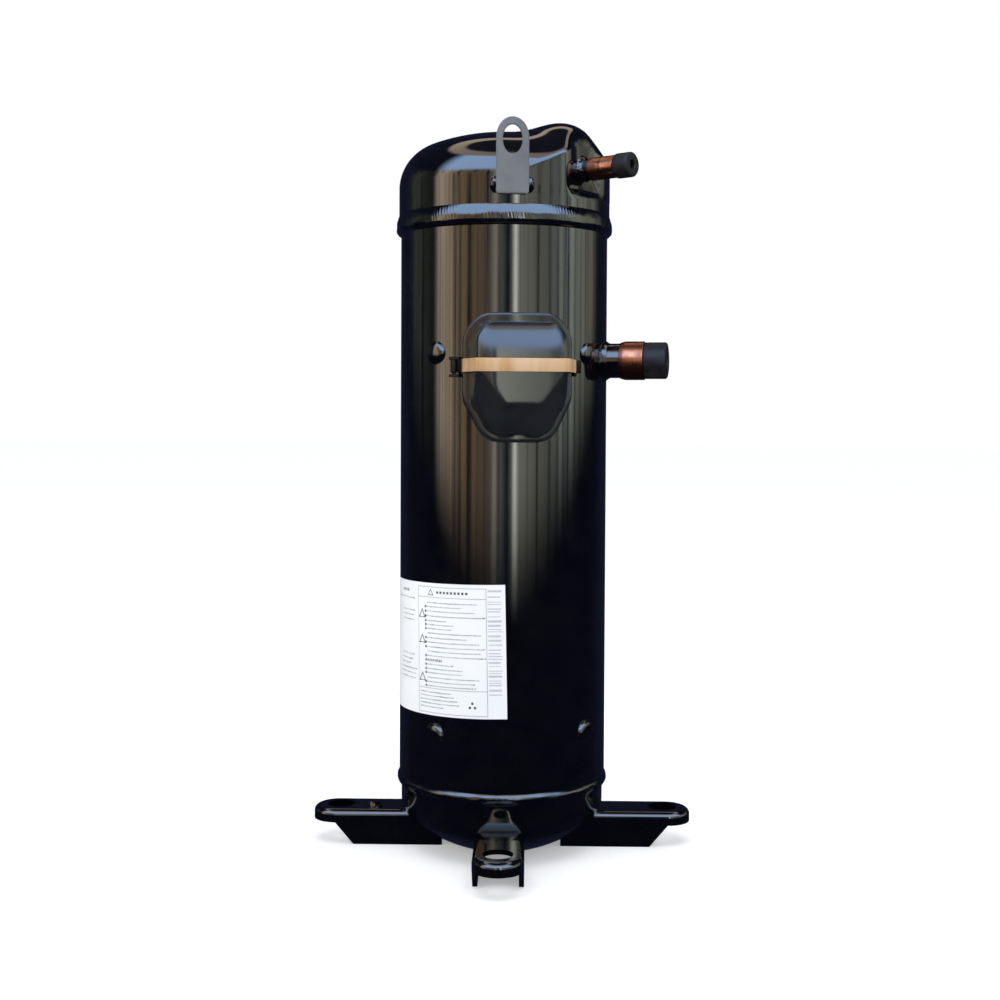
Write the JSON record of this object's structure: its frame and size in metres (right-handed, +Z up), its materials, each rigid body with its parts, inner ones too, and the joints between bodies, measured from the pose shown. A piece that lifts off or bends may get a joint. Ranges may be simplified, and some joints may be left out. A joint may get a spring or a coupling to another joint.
{
  "type": "hermetic scroll compressor",
  "caption": "Upright hermetic scroll compressor with welded shell, lifting lug, capped suction and discharge sockets, and bolt-down feet.",
  "frame": {"origin": "on the shaft axis, at the level of the feet's lower edges", "axes": "+Z up the shaft axis, -Y towards the foot below the terminal cover, +X to the right seen from there"},
  "size_m": [0.257, 0.257, 0.4828],
  "materials": {
    "black_paint": "gloss black enamel over steel",
    "copper_tube": "drawn copper, slightly tarnished",
    "black_rubber": "matt moulded rubber",
    "cover_plastic": "satin moulded plastic, dark grey",
    "gasket_foam": "closed-cell foam",
    "tan_strap": "yellow-passivated zinc plate",
    "plated_steel": "zinc plated",
    "terminal_glass": "fused dark glass",
    "lead_sleeve": "braided sleeve",
    "label_paper": "satin white label",
    "cast_iron": "machined grey iron",
    "frame_steel": "pressed steel",
    "sintered_iron": "ground sintered iron",
    "bearing_lining": "bronze lining",
    "spring_steel": "polished spring steel",
    "ground_steel": "ground",
    "tube_steel": "drawn",
    "seal_ptfe": "filled plastic seal",
    "lamination_steel": "stacked laminations",
    "cage_aluminium": "die cast",
    "weight_brass": "cast brass",
    "winding_copper": "enamelled wire, laced"
  },
  "bodies": {
    "casing": {"shell": "black_paint", "top_cap": "black_paint", "bottom_cap": "black_paint", "upper_seam_weld": "black_paint", "lower_seam_weld": "black_paint", "plug_welds": "black_paint", "foot_front": "black_paint", "foot_right": "black_paint", "foot_rear": "black_paint", "foot_left": "black_paint", "lifting_lug": "black_paint", "lug_tack_welds": "black_paint", "suction_stub": "black_paint", "suction_braze": "black_paint", "discharge_stub": "black_paint", "discharge_braze": "black_paint", "strap_bracket_left": "black_paint", "strap_bracket_right": "black_paint", "suction_socket": "copper_tube", "discharge_socket": "copper_tube", "cover_gasket": "gasket_foam", "earth_screw": "plated_steel", "terminal_cup": "plated_steel", "terminal_pins": "plated_steel", "thrust_plate_screws": "plated_steel", "valve_screw": "plated_steel", "terminal_glass": "terminal_glass", "motor_leads": "lead_sleeve", "data_plate": "label_paper", "fixed_scroll": "cast_iron", "main_frame": "cast_iron", "lower_frame": "frame_steel", "partition_plate": "frame_steel", "main_bush": "bearing_lining", "lower_bush": "bearing_lining", "valve_stop": "spring_steel", "thrust_plate": "spring_steel", "scroll_bolts": "ground_steel", "boss_seal": "seal_ptfe", "stator_core": "lamination_steel", "stator_windings": "winding_copper"},
    "crank": {"crankshaft": "ground_steel", "rotor_core": "lamination_steel", "rotor_cage": "cage_aluminium", "upper_counterweight": "weight_brass", "lower_counterweight": "weight_brass", "oil_pickup": "tube_steel"},
    "orbiting": {"orbiting_scroll": "cast_iron", "drive_bush": "bearing_lining"},
    "oldham_hoop": {"oldham_ring": "sintered_iron"},
    "oldham_key_set": {"oldham_keys": "sintered_iron"},
    "valve": {"valve_reed": "spring_steel"},
    "strap": {"cover_strap": "tan_strap"},
    "cover": {"terminal_cover": "cover_plastic"},
    "suction_cap": {"suction_plug": "black_rubber"},
    "discharge_cap": {"discharge_plug": "black_rubber"}
  },
  "joints": [
    {"name": "crank_spin", "type": "hinge", "parent": "casing", "child": "crank", "pos_m": [0, 0, 0.2], "axis": [0, 0, 1], "continuous": true},
    {"name": "orbit_pin", "type": "hinge", "parent": "crank", "child": "orbiting", "pos_m": [0.0042, 0, 0.334], "axis": [0, 0, 1], "continuous": true},
    {"name": "oldham_shuttle", "type": "hinge", "parent": "crank", "child": "oldham_hoop", "pos_m": [0.0021, 0, 0.341], "axis": [0, 0, 1], "continuous": true},
    {"name": "oldham_keep", "type": "hinge", "parent": "oldham_hoop", "child": "oldham_key_set", "pos_m": [0.0042, 0, 0.341], "axis": [0, 0, 1], "continuous": true},
    {"name": "valve_lift", "type": "hinge", "parent": "casing", "child": "valve", "pos_m": [-0.0155, 0, 0.41105], "axis": [0, -1, 0], "range_deg": [0, 7], "stiffness_Nm_per_rad": 0.02},
    {"name": "strap_swing", "type": "hinge", "parent": "casing", "child": "strap", "pos_m": [-0.03031, -0.06854, 0.3214], "axis": [0, 0, -1], "range_deg": [0, 100]},
    {"name": "cover_lift", "type": "slide", "parent": "casing", "child": "cover", "axis": [0.1305, -0.9914, 0], "range_m": [0, 0.0175]},
    {"name": "suction_plug_pull", "type": "slide", "parent": "casing", "child": "suction_cap", "axis": [0.9763, -0.2164, 0], "range_m": [0, 0.025]},
    {"name": "discharge_plug_pull", "type": "slide", "parent": "casing", "child": "discharge_cap", "axis": [0.7934, -0.6088, 0], "range_m": [0, 0.022]}
  ],
  "couplings": [
    {"joint": "orbit_pin", "follows": "crank_spin", "ratio": -1},
    {"joint": "oldham_shuttle", "follows": "crank_spin", "ratio": -2},
    {"joint": "oldham_keep", "follows": "crank_spin", "ratio": 1},
    {"joint": "cover_lift", "follows": "strap_swing", "m_per_rad": 0.01}
  ]
}
